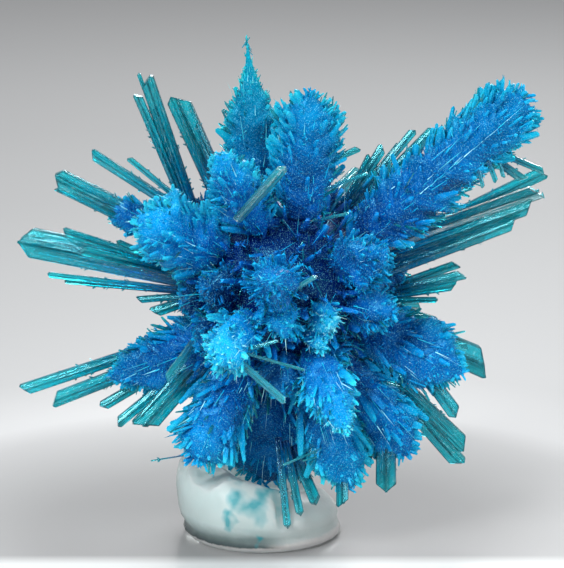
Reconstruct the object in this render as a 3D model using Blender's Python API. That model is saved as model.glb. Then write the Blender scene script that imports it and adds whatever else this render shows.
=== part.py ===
# A pentagonite spray: a dense crystal heart, the needle-coated feathers and clear blades that
# fork off it, and the lump of translucent mounting putty that holds it up.
# Lengths in the tables are millimetres; the scene is in metres, +Z up, +X to the viewer's right,
# +Y away from the viewer. The origin is the middle of the putty's flat underside.

import math
import random

import bmesh
import bpy
from mathutils import Matrix, Vector

MM = 0.001
GAP = 0.3

HEART_CENTRE = Vector((1.3, 0.0, 14.2))
HEART_RADIUS = 5.1
HEART_SPINES = (0.45, 1.25)
ROOT_RADIUS = 4.7

# Where the heart's own spines are longest: toward which side, and by how much.
HEART_TUFTS = ((Vector((2.3, -7.2, -0.9)), 1.2), (Vector((3.0, -5.0, 6.0)), 0.3))
TUFT_EDGE = 0.9

# Needle-coated feathers. tip, then the body's half width along the feather (0 at the root, 1 at
# the tip), then the length of its spines. A feather with no root of its own is radial.
FEATHERS = {
    "top_spike": dict(
        root=(-0.3, 0.4, 18.7), tip=(-0.8, -0.2, 28.1), spine=0.8, seed=11,
        shape=((0.0, 0.5), (0.2, 0.95), (0.5, 1.0), (0.66, 0.55), (0.85, 0.2), (1.0, 0.05))),
    "top_feather": dict(
        root=(2.2, -2.0, 18.3), tip=(2.6, -3.0, 25.8), spine=0.85, seed=12,
        shape=((0.0, 0.5), (0.3, 1.1), (0.85, 1.25), (1.0, 0.5))),
    "upper_right_feather": dict(
        root=(5.0, -1.8, 16.8), tip=(14.4, -3.8, 25.7), spine=0.85, seed=13,
        shape=((0.0, 0.5), (0.2, 1.25), (0.42, 1.35), (0.6, 1.0), (0.88, 1.0), (1.0, 0.5))),
    "right_front_feather": dict(
        tip=(6.8, -6.4, 17.6), spine=0.75, seed=14,
        shape=((0.0, 0.6), (0.4, 1.15), (1.0, 0.5))),
    "right_front_tuft": dict(
        tip=(7.4, -5.1, 13.8), spine=0.7, seed=15,
        shape=((0.0, 0.6), (0.4, 1.1), (1.0, 0.5))),
    "lower_right_feather": dict(
        tip=(11.2, -3.0, 9.8), spine=0.7, seed=16,
        shape=((0.0, 0.5), (0.3, 1.2), (0.75, 1.4), (1.0, 0.5))),
    "front_lower_feather": dict(
        tip=(4.6, -8.2, 7.9), spine=0.7, seed=17,
        shape=((0.0, 0.6), (0.4, 1.15), (1.0, 0.4))),
    "lower_right_skirt": dict(
        root=(2.6, -1.7, 10.0), tip=(5.0, -3.6, 3.3), spine=0.75, seed=18,
        shape=((0.0, 0.5), (0.35, 1.1), (0.8, 1.2), (1.0, 0.6))),
    "bottom_feather": dict(
        root=(0.7, 0.3, 9.6), tip=(0.4, 0.3, 2.2), spine=0.75, seed=19,
        shape=((0.0, 0.8), (0.3, 1.8), (0.75, 2.0), (1.0, 1.1))),
    "lower_left_feather": dict(
        tip=(-3.9, -3.6, 4.6), spine=0.75, seed=20,
        shape=((0.0, 0.5), (0.35, 1.1), (0.85, 1.3), (1.0, 0.8))),
    "left_front_tuft": dict(
        tip=(-2.6, -8.4, 11.8), spine=0.75, seed=21,
        shape=((0.0, 0.6), (0.4, 1.0), (1.0, 0.6))),
    "centre_feather": dict(
        tip=(0.5, -9.6, 16.7), spine=0.8, seed=22,
        shape=((0.0, 0.6), (0.4, 1.15), (1.0, 0.5))),
    "left_feather": dict(
        tip=(-6.8, -5.0, 19.3), spine=0.8, seed=23,
        shape=((0.0, 0.6), (0.3, 1.25), (0.8, 1.35), (1.0, 0.7))),
    "upper_left_feather": dict(
        tip=(-2.3, -6.2, 23.0), spine=0.8, seed=24,
        shape=((0.0, 0.5), (0.4, 1.1), (1.0, 0.5))),
    "back_top_feather": dict(
        tip=(-1.2, 7.6, 22.6), spine=0.8, seed=25,
        shape=((0.0, 0.6), (0.4, 1.2), (1.0, 0.4))),
    "back_left_feather": dict(
        tip=(-6.2, 7.8, 16.8), spine=0.8, seed=26,
        shape=((0.0, 0.6), (0.4, 1.25), (1.0, 0.4))),
    "back_right_feather": dict(
        tip=(9.6, 7.4, 18.3), spine=0.8, seed=27,
        shape=((0.0, 0.6), (0.4, 1.25), (1.0, 0.4))),
    "back_centre_feather": dict(
        tip=(1.6, 11.2, 14.6), spine=0.8, seed=28,
        shape=((0.0, 0.6), (0.4, 1.3), (1.0, 0.4))),
    "back_lower_feather": dict(
        tip=(3.6, 8.0, 6.0), spine=0.8, seed=29,
        shape=((0.0, 0.6), (0.4, 1.3), (1.0, 0.5))),
    "back_lower_left_feather": dict(
        tip=(-5.2, 6.8, 8.6), spine=0.8, seed=30,
        shape=((0.0, 0.6), (0.4, 1.2), (1.0, 0.5))),
}

# Clear laths: root, tip, half width, half thickness. The laths of one group cross at their roots,
# where they have grown together. peak is where the point stands across the end, from -1 to 1.
BLADES = {
    "upper_left_long_blade": [
        dict(root=(-3.2, 1.5, 16.0), tip=(-6.3, 0.5, 25.7), wide=0.50, thick=0.32, peak=0.6),
        dict(root=(-3.3, 1.4, 15.9), tip=(-6.8, 0.3, 24.8), wide=0.30, thick=0.24, peak=-0.6),
        dict(root=(-3.3, 1.5, 16.0), tip=(-6.7, 0.4, 25.9), wide=0.14, thick=0.12, peak=0.0)],
    "upper_left_short_blade": [
        dict(root=(-1.7, 2.4, 17.3), tip=(-4.8, 4.5, 23.9), wide=0.78, thick=0.45, peak=-0.4)],
    "upper_left_laths": [
        dict(root=(-2.4, -0.9, 17.2), tip=(-9.3, -1.0, 21.8), wide=0.36, thick=0.24, peak=0.5),
        dict(root=(-2.3, -0.8, 17.3), tip=(-7.3, 0.0, 21.3), wide=0.20, thick=0.16, peak=-0.3)],
    "left_upper_blade": [
        dict(root=(-3.1, 0.3, 16.0), tip=(-11.4, 0.5, 20.1), wide=0.75, thick=0.42, peak=0.3)],
    "left_blade": [
        dict(root=(-3.4, 1.7, 14.2), tip=(-13.6, 4.5, 15.6), wide=1.05, thick=0.50, peak=0.0),
        dict(root=(-3.7, 1.5, 14.4), tip=(-10.9, -0.5, 17.3), wide=0.32, thick=0.22, peak=0.4),
        dict(root=(-3.7, 1.5, 14.2), tip=(-9.9, -0.8, 16.3), wide=0.32, thick=0.22, peak=-0.4),
        dict(root=(-3.7, 1.5, 14.3), tip=(-7.9, -1.1, 16.8), wide=0.26, thick=0.20, peak=0.2)],
    "left_needles": [
        dict(root=(-3.5, -0.5, 13.9), tip=(-11.7, -1.5, 15.1), wide=0.20, thick=0.16, peak=0.2),
        dict(root=(-3.5, -0.4, 13.8), tip=(-10.8, -1.0, 14.6), wide=0.16, thick=0.14, peak=0.0),
        dict(root=(-3.4, -0.4, 13.7), tip=(-6.9, 0.0, 13.3), wide=0.24, thick=0.20, peak=0.8),
        dict(root=(-3.4, -0.4, 13.6), tip=(-6.1, -0.2, 12.6), wide=0.38, thick=0.30, peak=0.8)],
    "lower_left_fan": [
        dict(root=(-2.6, -0.4, 11.9), tip=(-13.3, -1.0, 8.4), wide=0.42, thick=0.28, peak=0.7),
        dict(root=(-2.4, -0.6, 11.4), tip=(-11.6, -1.8, 8.0), wide=0.50, thick=0.30, peak=-0.6),
        dict(root=(-2.4, -0.6, 11.3), tip=(-8.9, -1.2, 7.5), wide=0.36, thick=0.28, peak=0.4),
        dict(root=(-2.4, -0.8, 11.2), tip=(-8.0, -2.2, 6.8), wide=0.36, thick=0.28, peak=-0.4),
        dict(root=(-2.4, -0.9, 11.2), tip=(-6.7, -3.0, 6.7), wide=0.80, thick=0.38, peak=0.7),
        dict(root=(-2.5, -1.0, 11.4), tip=(-5.6, -4.0, 9.7), wide=0.24, thick=0.20, peak=0.0)],
    "right_blade": [
        dict(root=(5.7, -0.4, 16.1), tip=(15.2, -1.0, 19.7), wide=0.52, thick=0.34, peak=0.7),
        dict(root=(5.7, -0.4, 15.3), tip=(14.8, -1.0, 18.9), wide=0.52, thick=0.38, peak=-0.7),
        dict(root=(5.7, -0.4, 14.6), tip=(13.9, -1.0, 18.0), wide=0.50, thick=0.34, peak=-0.5),
        dict(root=(5.8, -0.2, 15.7), tip=(15.6, 1.5, 20.2), wide=0.46, thick=0.26, peak=0.6)],
    "right_lath_bundle": [
        dict(root=(6.0, 0.9, 13.4), tip=(10.9, 1.1, 15.1), wide=0.28, thick=0.22, peak=0.8),
        dict(root=(6.0, 0.8, 13.3), tip=(11.2, 0.3, 14.7), wide=0.28, thick=0.22, peak=0.8),
        dict(root=(6.0, 0.9, 13.2), tip=(10.8, 1.0, 13.9), wide=0.26, thick=0.22, peak=-0.8),
        dict(root=(6.0, 0.8, 13.1), tip=(9.7, 0.4, 13.2), wide=0.20, thick=0.18, peak=0.0),
        dict(root=(6.0, 0.7, 13.1), tip=(9.8, -0.4, 12.1), wide=0.30, thick=0.24, peak=0.6)],
    "right_lower_blade": [
        dict(root=(5.3, 1.7, 12.3), tip=(12.9, 4.5, 8.3), wide=1.0, thick=0.45, peak=0.8)],
    "lower_right_blade": [
        dict(root=(4.9, 0.7, 11.1), tip=(11.3, 0.2, 4.8), wide=0.44, thick=0.32, peak=0.5),
        dict(root=(4.8, 0.7, 11.0), tip=(11.0, 0.2, 3.7), wide=0.44, thick=0.30, peak=-0.5)],
    "upper_right_laths": [
        dict(root=(4.2, 1.0, 17.7), tip=(6.0, 2.0, 21.0), wide=0.30, thick=0.22, peak=-0.6),
        dict(root=(4.2, 1.0, 17.7), tip=(6.7, 2.2, 21.5), wide=0.34, thick=0.24, peak=-0.5),
        dict(root=(4.3, 1.0, 17.7), tip=(7.6, 2.4, 21.5), wide=0.28, thick=0.22, peak=-0.8),
        dict(root=(4.3, 1.0, 17.6), tip=(8.4, 2.3, 22.4), wide=0.28, thick=0.22, peak=0.2),
        dict(root=(4.4, 1.0, 17.5), tip=(9.5, 2.6, 22.4), wide=0.34, thick=0.26, peak=0.0)],
    "back_upper_blades": [
        dict(root=(2.4, 3.4, 17.2), tip=(3.2, 9.0, 20.6), wide=0.60, thick=0.35, peak=0.5),
        dict(root=(2.5, 3.4, 17.0), tip=(5.4, 8.8, 18.6), wide=0.45, thick=0.30, peak=-0.5)],
    "back_left_blades": [
        dict(root=(-1.5, 3.6, 13.2), tip=(-4.4, 9.8, 12.8), wide=0.60, thick=0.35, peak=0.4),
        dict(root=(-1.5, 3.6, 13.0), tip=(-3.2, 9.2, 10.6), wide=0.50, thick=0.32, peak=-0.5)],
    "back_right_blades": [
        dict(root=(4.2, 3.2, 12.2), tip=(9.0, 9.2, 10.6), wide=0.60, thick=0.35, peak=0.5),
        dict(root=(4.3, 3.1, 12.0), tip=(9.2, 8.0, 8.2), wide=0.45, thick=0.30, peak=-0.5)],
}

# Clear laths that have grown through a feather, and feathers that have grown on an arm.
GROWN_LATHS = {
    "top_feather": [
        dict(root=(2.7, -2.5, 21.2), tip=(5.3, -2.2, 22.3), wide=0.22, thick=0.18, peak=0.4)],
    "upper_left_feather": [
        dict(root=(-1.3, -4.6, 18.9), tip=(1.2, -7.2, 22.3), wide=0.32, thick=0.22, peak=0.2)],
    "lower_right_feather": [
        dict(root=(8.0, -2.3, 11.1), tip=(10.7, -2.6, 7.4), wide=0.50, thick=0.34, peak=0.2)],
    "lower_right_skirt": [
        dict(root=(6.8, -2.6, 6.8), tip=(6.8, -3.4, 3.3), wide=0.70, thick=0.42, peak=0.0),
        dict(root=(4.4, -3.1, 5.2), tip=(4.4, -4.0, 2.6), wide=0.42, thick=0.30, peak=0.6)],
    "bottom_feather": [
        dict(root=(0.9, -1.4, 5.8), tip=(1.4, -4.5, 1.6), wide=0.26, thick=0.20, peak=0.0),
        dict(root=(1.3, -1.4, 5.6), tip=(2.1, -4.4, 2.3), wide=0.28, thick=0.20, peak=0.0),
        dict(root=(1.7, -1.2, 5.2), tip=(3.0, -3.9, 2.8), wide=0.40, thick=0.24, peak=0.3)],
}
GROWN_FEATHERS = {
    "lower_right_skirt": dict(
        tip=(8.2, -3.0, 5.0), spine=0.75, seed=33,
        shape=((0.0, 0.5), (0.35, 1.1), (0.85, 1.25), (1.0, 0.5))),
    "left_upper_blade": dict(
        root=(-4.9, 0.3, 16.9), tip=(-9.0, 0.4, 18.9), spine=0.45, seed=31,
        shape=((0.0, 0.5), (0.3, 0.65), (0.7, 0.6), (1.0, 0.2))),
    "lower_left_fan": dict(
        root=(-2.9, -0.7, 11.3), tip=(-8.7, -1.4, 9.4), spine=0.6, seed=32,
        shape=((0.0, 0.5), (0.4, 0.95), (0.8, 0.75), (1.0, 0.2))),
}

FEATHER_SIDES = 7
RING_SPACING = 1.15
SPINE_REACH = (0.75, 1.2)
SPINE_LEAN = (0.45, 0.85)
BLUNT_END = 0.4
SOCKET_DEPTH = 2.9
ROOM_SINK = 0.7
ROOT_SPINE = 0.6
ROOM_SIDES = 6
LATH_SIDES = 6
LATH_TAPER = 0.82
LATH_ROOT = 0.75
END_SLOPE = math.radians(38)

PRESSED_FEATHERS = ("bottom_feather", "lower_left_feather", "lower_right_skirt")
PUTTY_RADIUS = 4.4
PUTTY_SIDES = 28
PUTTY_RINGS = ((0.0, 0.93), (0.25, 0.99), (1.1, 1.03), (2.2, 1.0), (3.1, 0.9), (3.6, 0.7))
PUTTY_SLOPE = 0.095
PUTTY_LEAN = -0.18
DENT_SIDES = 12
LATH_DENT = 0.45

PARTS = bpy.data.collections.new("pentagonite_spray")
CUTTERS = bpy.data.collections.new("cutters")


def clear_scene():
    for thing in list(bpy.data.objects):
        bpy.data.objects.remove(thing, do_unlink=True)
    bpy.context.scene.collection.children.link(PARTS)
    bpy.context.scene.collection.children.link(CUTTERS)


def material(name, colour, roughness, clear):
    made = bpy.data.materials.new(name)
    made.use_nodes = True
    shader = made.node_tree.nodes["Principled BSDF"]
    shader.inputs["Base Color"].default_value = (*colour, 1.0)
    shader.inputs["Roughness"].default_value = roughness
    shader.inputs["Metallic"].default_value = 0.0
    shader.inputs["Transmission Weight"].default_value = clear
    return made


def make_object(name, mesh_data, collection):
    for vertex in mesh_data.verts:
        vertex.co *= MM
    mesh = bpy.data.meshes.new(name)
    mesh_data.to_mesh(mesh)
    mesh_data.free()
    thing = bpy.data.objects.new(name, mesh)
    collection.objects.link(thing)
    if collection is not PARTS:
        thing.hide_render = True
        thing.display_type = "WIRE"
    return thing


# The turn and shift that stand a shape drawn along +Z on root, pointing at tip, with its
# width lying in the plane that the viewer sees.
def stand_between(root, tip):
    along = (tip - root).normalized()
    across = Vector((0.0, 1.0, 0.0)).cross(along)
    if across.length < 0.35:
        across = Vector((1.0, 0.0, 0.0))
    across = (across - across.dot(along) * along).normalized()
    turn = Matrix((across, along.cross(across), along)).transposed()
    return Matrix.Translation(root) @ turn.to_4x4()


def radial_root(tip):
    return HEART_CENTRE + (tip - HEART_CENTRE).normalized() * ROOT_RADIUS


def ends_of(plan):
    tip = Vector(plan["tip"])
    root = Vector(plan["root"]) if "root" in plan else radial_root(tip)
    return root, tip


def half_width_at(shape, place):
    for (start, first), (end, second) in zip(shape, shape[1:]):
        if place <= end:
            return first + (second - first) * (place - start) / (end - start)
    return shape[-1][1]


# Grows a shape on by one ring from its end face, and returns the new end face.
def extend_end(shape, end, rise, scale, keep_end=False):
    grown = bmesh.ops.extrude_face_region(shape, geom=[end])["geom"]
    if not keep_end:
        bmesh.ops.delete(shape, geom=[end], context="FACES_ONLY")
    far_end = next(part for part in grown if isinstance(part, bmesh.types.BMFace))
    bmesh.ops.translate(shape, verts=far_end.verts, vec=(0.0, 0.0, rise))
    bmesh.ops.scale(shape, verts=far_end.verts, vec=(scale, scale, 1.0))
    return far_end


# A flat six-sided prism, wider than it is thick, that ends in two sloping faces.
def lath(plan, grow=0.0):
    root, tip = ends_of(plan)
    length = (tip - root).length + 2.0 * grow
    wide = plan["wide"] + grow
    thick = plan["thick"] + grow
    shape = bmesh.new()
    bmesh.ops.create_cone(shape, cap_ends=True, segments=LATH_SIDES, radius1=LATH_ROOT,
                          radius2=1.0, depth=length / 2)
    top = max(shape.faces, key=lambda face: face.calc_center_median().z)
    extend_end(shape, top, length / 2, LATH_TAPER)
    bmesh.ops.translate(shape, verts=shape.verts, vec=(0.0, 0.0, length / 4))
    bmesh.ops.scale(shape, verts=shape.verts, vec=(wide, thick, 1.0))
    peak = Vector((plan["peak"] * wide * LATH_TAPER, 0.0, length))
    for side in (-1.0, 1.0):
        slope = Vector((side * math.sin(END_SLOPE), 0.0, math.cos(END_SLOPE)))
        everything = shape.verts[:] + shape.edges[:] + shape.faces[:]
        cut = bmesh.ops.bisect_plane(shape, geom=everything, plane_co=peak, plane_no=slope,
                                     clear_outer=True)["geom_cut"]
        rim = [part for part in cut if isinstance(part, bmesh.types.BMEdge)]
        bmesh.ops.edgeloop_fill(shape, edges=rim)
    bmesh.ops.translate(shape, verts=shape.verts, vec=(0.0, 0.0, -grow))
    bmesh.ops.transform(shape, matrix=stand_between(root, tip), verts=shape.verts)
    bmesh.ops.recalc_face_normals(shape, faces=shape.faces)
    return shape


# A many-sided rod of rings along +Z. Returns the shape, the side faces ring by ring and the end.
def ringed_rod(radii, spacing, sides):
    shape = bmesh.new()
    bmesh.ops.create_circle(shape, cap_ends=True, segments=sides, radius=radii[0])
    end = shape.faces[:][0]
    rings = []
    for before, after in zip(radii, radii[1:]):
        known = set(shape.faces)
        end = extend_end(shape, end, spacing, after / before, keep_end=not rings)
        rings.append([face for face in shape.faces if face not in known and face is not end])
    return shape, rings, end


def raise_spines(shape, faces, height, chance):
    raised = bmesh.ops.poke(shape, faces=faces)["verts"]
    for apex in raised:
        out = Vector((apex.co.x, apex.co.y, 0.0))
        out = out.normalized() if out.length > 0.05 else Vector((0.0, 0.0, 1.0))
        rise = height * chance.uniform(*SPINE_REACH)
        apex.co += out * rise
        apex.co.z += rise * chance.uniform(*SPINE_LEAN)


# A feather's rings: how far apart they stand, their radii, and the height of the spines at each.
def feather_rings(plan):
    root, tip = ends_of(plan)
    length = (tip - root).length
    spine = plan["spine"]
    count = max(3, round((length - spine) / RING_SPACING))
    spacing = (length - spine) / count
    radii = [half_width_at(plan["shape"], step * spacing / length) for step in range(count + 1)]
    heights = [spine * (0.4 + 0.6 * radius / max(radii)) for radius in radii]
    return spacing, radii, heights


# A feather: a rod that follows the plan's half widths, coated with spines that lean to its tip.
def feather(plan):
    root, tip = ends_of(plan)
    chance = random.Random(plan["seed"])
    spacing, radii, heights = feather_rings(plan)
    shape, rings, end = ringed_rod(radii, spacing, FEATHER_SIDES)
    fan = bmesh.ops.poke(shape, faces=[end])
    fan["verts"][0].co.z = (tip - root).length
    for faces, height in zip(rings[1:], heights[1:]):
        raise_spines(shape, faces, height, chance)
    if radii[-1] > BLUNT_END:
        raise_spines(shape, fan["faces"], plan["spine"] * 0.5, chance)
    bmesh.ops.recalc_face_normals(shape, faces=shape.faces)
    bmesh.ops.transform(shape, matrix=stand_between(root, tip), verts=shape.verts)
    return shape


# The plain round hollow that a feather with its spines leaves in the soft putty.
def feather_dent(plan):
    root, tip = ends_of(plan)
    to_corner = 1.0 / math.cos(math.pi / DENT_SIDES)
    spacing, radii, heights = feather_rings(plan)
    hollow = [(radius + SPINE_REACH[1] * height + GAP) * to_corner
              for radius, height in zip(radii, heights)]
    hollow.append(hollow[-1] * 0.6)
    shape, _, _ = ringed_rod(hollow, spacing, DENT_SIDES)
    bmesh.ops.recalc_face_normals(shape, faces=shape.faces)
    bmesh.ops.transform(shape, matrix=stand_between(root, tip), verts=shape.verts)
    return shape


# The plain tapered room that an arm needs where it leaves the heart, with the gap that
# neighbours keep: where it starts, where it points, its two radii and its length.
def feather_room(plan, length):
    root, tip = ends_of(plan)
    low = half_width_at(plan["shape"], 0.0) + plan["spine"] * ROOT_SPINE
    high = half_width_at(plan["shape"], length / (tip - root).length) + plan["spine"]
    return dict(start=root, toward=tip, low=low + GAP, high=high + GAP, length=length)


# One room for a group of laths, around the line through the middle of their roots.
def lath_room(plans, length):
    ends = [ends_of(plan) for plan in plans]
    wide = max(plan["wide"] for plan in plans)
    starts = [root for root, _ in ends]
    stops = [root + (tip - root).normalized() * length for root, tip in ends]
    start = sum(starts, Vector()) / len(ends)
    stop = sum(stops, Vector()) / len(ends)
    low = wide * LATH_ROOT + max((point - start).length for point in starts)
    high = wide + max((point - stop).length for point in stops)
    return dict(start=start, toward=stop, low=low + GAP, high=high + GAP, length=length)


def room_shape(room):
    to_corner = 1.0 / math.cos(math.pi / ROOM_SIDES)
    radii = [room["low"] * to_corner, room["high"] * to_corner]
    shape, _, _ = ringed_rod(radii, room["length"] + ROOM_SINK, ROOM_SIDES)
    bmesh.ops.translate(shape, verts=shape.verts, vec=(0.0, 0.0, -ROOM_SINK))
    bmesh.ops.recalc_face_normals(shape, faces=shape.faces)
    bmesh.ops.transform(shape, matrix=stand_between(room["start"], room["toward"]),
                        verts=shape.verts)
    return shape


# A room for every arm, and for each grown-on feather that starts in the heart as well.
def heart_rooms():
    surface = HEART_RADIUS + HEART_SPINES[0]
    grown = [plan for plan in GROWN_FEATHERS.values()
             if (ends_of(plan)[0] - HEART_CENTRE).length < surface]
    rooms = [feather_room(plan, SOCKET_DEPTH) for plan in list(FEATHERS.values()) + grown]
    rooms.extend(lath_room(plans, SOCKET_DEPTH) for plans in BLADES.values())
    return rooms


def stands_in(point, room):
    along = (room["toward"] - room["start"]).normalized()
    off = point - room["start"]
    return off.dot(along) > 0.0 and (off - off.dot(along) * along).length < room["low"]


# The heart: a ball of grown-together crystals, each face of it raised to a spine where no arm
# stands on it.
def heart_ball(rooms):
    chance = random.Random(7)
    shape = bmesh.new()
    bmesh.ops.create_icosphere(shape, subdivisions=3, radius=HEART_RADIUS)
    bmesh.ops.translate(shape, verts=shape.verts, vec=HEART_CENTRE)
    free = [face for face in shape.faces
            if not any(stands_in(face.calc_center_median(), room) for room in rooms)]
    for apex in bmesh.ops.poke(shape, faces=free)["verts"]:
        out = (apex.co - HEART_CENTRE).normalized()
        rise = chance.uniform(*HEART_SPINES)
        for way, height in HEART_TUFTS:
            rise += height * max(0.0, out.dot(way.normalized()) - TUFT_EDGE) / (1.0 - TUFT_EDGE)
        apex.co = HEART_CENTRE + out * (HEART_RADIUS + rise)
    bmesh.ops.recalc_face_normals(shape, faces=shape.faces)
    return shape


# The mounting putty: a low pressed lump, higher on the left, with a rolled lower rim.
def putty_lump():
    chance = random.Random(5)
    shape = bmesh.new()
    heights = [height for height, _ in PUTTY_RINGS]
    bmesh.ops.create_circle(shape, cap_ends=True, segments=PUTTY_SIDES,
                            radius=PUTTY_RADIUS * PUTTY_RINGS[0][1])
    end = shape.faces[:][0]
    for (low, inner), (high, outer) in zip(PUTTY_RINGS, PUTTY_RINGS[1:]):
        end = extend_end(shape, end, high - low, outer / inner, keep_end=low == 0.0)
    bmesh.ops.poke(shape, faces=[end])
    for vertex in shape.verts:
        rise = vertex.co.z / heights[-1]
        around = math.atan2(vertex.co.y, vertex.co.x)
        swell = 1.0 + rise * (0.03 * math.sin(3 * around + 1.0) + 0.02 * math.sin(5 * around))
        vertex.co.x = vertex.co.x * swell
        vertex.co.y = vertex.co.y * swell
        vertex.co.z *= 1.0 - PUTTY_SLOPE * vertex.co.x + rise * chance.uniform(-0.01, 0.01)
        vertex.co.x += PUTTY_LEAN * vertex.co.z
    bmesh.ops.recalc_face_normals(shape, faces=shape.faces)
    return shape


def add_boolean(thing, other, operation):
    step = thing.modifiers.new(operation.lower(), "BOOLEAN")
    step.operation = operation
    step.solver = "EXACT"
    if isinstance(other, bpy.types.Collection):
        step.operand_type = "COLLECTION"
        step.collection = other
    else:
        step.object = other
    return step


# Takes an object's shape with its modifiers as its own mesh, and drops the modifiers.
def settle(thing):
    graph = bpy.context.evaluated_depsgraph_get()
    graph.update()
    mesh = bpy.data.meshes.new_from_object(thing.evaluated_get(graph))
    thing.modifiers.clear()
    old = thing.data
    thing.data = mesh
    bpy.data.meshes.remove(old)
    mesh.name = thing.name


# Crystals that overlap are joined in one solid.
def grow_together(name, shapes):
    first = make_object(name, shapes[0], PARTS)
    for number, shape in enumerate(shapes[1:]):
        other = make_object(f"{name}_{number}", shape, CUTTERS)
        add_boolean(first, other, "UNION")
        settle(first)
        bpy.data.objects.remove(other, do_unlink=True)
    return first


# Splinters that a socket has cut loose are dropped: the largest closed body stays.
def keep_largest(thing):
    shape = bmesh.new()
    shape.from_mesh(thing.data)
    left = set(shape.verts)
    bodies = []
    while left:
        body = {left.pop()}
        edge = list(body)
        while edge:
            vertex = edge.pop()
            near = {link.other_vert(vertex) for link in vertex.link_edges} - body
            body |= near
            edge.extend(near)
        left -= body
        bodies.append(body)
    bodies.sort(key=len)
    for body in bodies[:-1]:
        bmesh.ops.delete(shape, geom=list(body), context="VERTS")
    shape.to_mesh(thing.data)
    shape.free()


def grown_on(name):
    shapes = [feather(GROWN_FEATHERS[name])] if name in GROWN_FEATHERS else []
    return shapes + [lath(each) for each in GROWN_LATHS.get(name, [])]


def make_arms(coated, clear):
    for name, plan in FEATHERS.items():
        arm = grow_together(name, [feather(plan)] + grown_on(name))
        arm.data.materials.append(coated)
    for name, plans in BLADES.items():
        arm = grow_together(name, [lath(each) for each in plans] + grown_on(name))
        arm.data.materials.append(clear)


def make_heart(coated):
    sockets = bpy.data.collections.new("heart_sockets")
    CUTTERS.children.link(sockets)
    rooms = heart_rooms()
    for number, room in enumerate(rooms):
        make_object(f"socket_{number}", room_shape(room), sockets)
    heart = make_object("crystal_heart", heart_ball(rooms), PARTS)
    add_boolean(heart, sockets, "DIFFERENCE")
    settle(heart)
    keep_largest(heart)
    heart.data.materials.append(coated)


def make_putty(soft):
    putty = make_object("mounting_putty", putty_lump(), PARTS)
    dents = [feather_dent(FEATHERS[name]) for name in PRESSED_FEATHERS]
    dents.extend(lath(each, LATH_DENT) for name in PRESSED_FEATHERS
                 for each in GROWN_LATHS.get(name, []))
    for number, shape in enumerate(dents):
        dent = make_object(f"putty_dent_{number}", shape, CUTTERS)
        add_boolean(putty, dent, "DIFFERENCE")
    settle(putty)
    keep_largest(putty)
    putty.data.materials.append(soft)


def main():
    clear_scene()
    coated = material("needle_coated_crystal", (0.0, 0.42, 0.78), 0.45, 0.0)
    clear = material("clear_blue_crystal", (0.05, 0.55, 0.66), 0.12, 0.8)
    soft = material("mounting_putty", (0.78, 0.84, 0.84), 0.35, 0.3)
    make_arms(coated, clear)
    make_heart(coated)
    make_putty(soft)


main()
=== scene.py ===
import math

import bmesh
import bpy
import numpy as np
from mathutils import Matrix, Vector, noise


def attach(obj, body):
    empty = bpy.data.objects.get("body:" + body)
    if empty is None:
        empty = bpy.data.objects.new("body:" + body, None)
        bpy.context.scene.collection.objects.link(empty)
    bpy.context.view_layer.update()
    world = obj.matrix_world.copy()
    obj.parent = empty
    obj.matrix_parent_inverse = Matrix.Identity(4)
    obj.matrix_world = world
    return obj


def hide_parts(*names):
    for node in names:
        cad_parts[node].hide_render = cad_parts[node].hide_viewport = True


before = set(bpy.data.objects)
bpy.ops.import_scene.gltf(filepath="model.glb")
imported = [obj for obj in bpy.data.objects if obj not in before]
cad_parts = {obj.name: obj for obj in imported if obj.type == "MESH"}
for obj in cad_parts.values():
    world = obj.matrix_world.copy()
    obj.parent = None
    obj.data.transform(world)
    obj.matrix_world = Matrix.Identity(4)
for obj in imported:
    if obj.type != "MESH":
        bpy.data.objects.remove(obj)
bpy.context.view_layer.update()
scene = bpy.context.scene
mm = 0.001

# the heart's core is painted dark and its tint runs from deep navy at its surface outward: painted shade
# between the arms
heart = dict(
    centre=(1.3, 0.0, 14.2), radius=4.7, paintedCoreShade=-1.0, barbs=400, barbLength=(0.9, 2.4),
    barbWidth=(0.12, 0.32), barbTone=(-1.6, 0.9), scatter=0.4, coatShares=(0.8, 0.5), lathLengths=(0.8, 1.9),
    lathSlim=(0.03, 0.08), tint=(0.03, 0.42), seed=7)


# half widths at the root, before the middle and at the tip
def swell(root, middle, tip):
    return ((0.0, root), (0.4, middle), (1.0, tip))
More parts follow.
